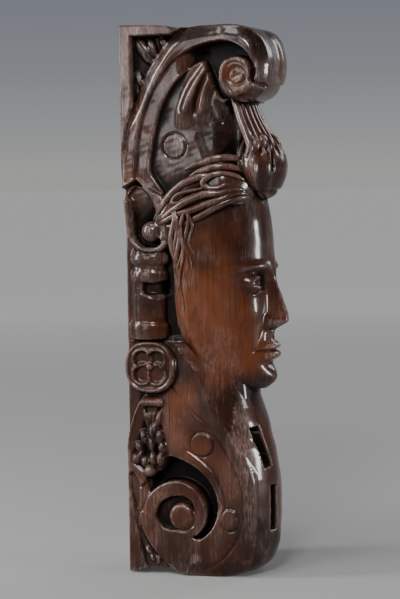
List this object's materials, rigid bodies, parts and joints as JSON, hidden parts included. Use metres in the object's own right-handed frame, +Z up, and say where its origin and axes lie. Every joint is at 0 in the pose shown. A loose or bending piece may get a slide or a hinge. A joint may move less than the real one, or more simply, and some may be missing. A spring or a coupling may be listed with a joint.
{
  "type": "wooden corbel bracket",
  "caption": "Scroll-shaped wall bracket carved from one block of dark hardwood, with a mask in a twisted-cloth headdress, side scrolls and a hanging leaf-and-berry ornament.",
  "frame": {"origin": "centre of the flat back face, in the plane of the wall", "axes": "+X across the width, -Y out from the wall towards the carved front, +Z up"},
  "size_m": [0.1112, 0.1429, 0.5],
  "materials": {
    "carved_wood": "dark red-brown varnish, worn to a pinkish grey on the raised flats and nearly black in the hollows"
  },
  "bodies": {
    "root": {"corbel": "carved_wood"}
  },
  "joints": []
}
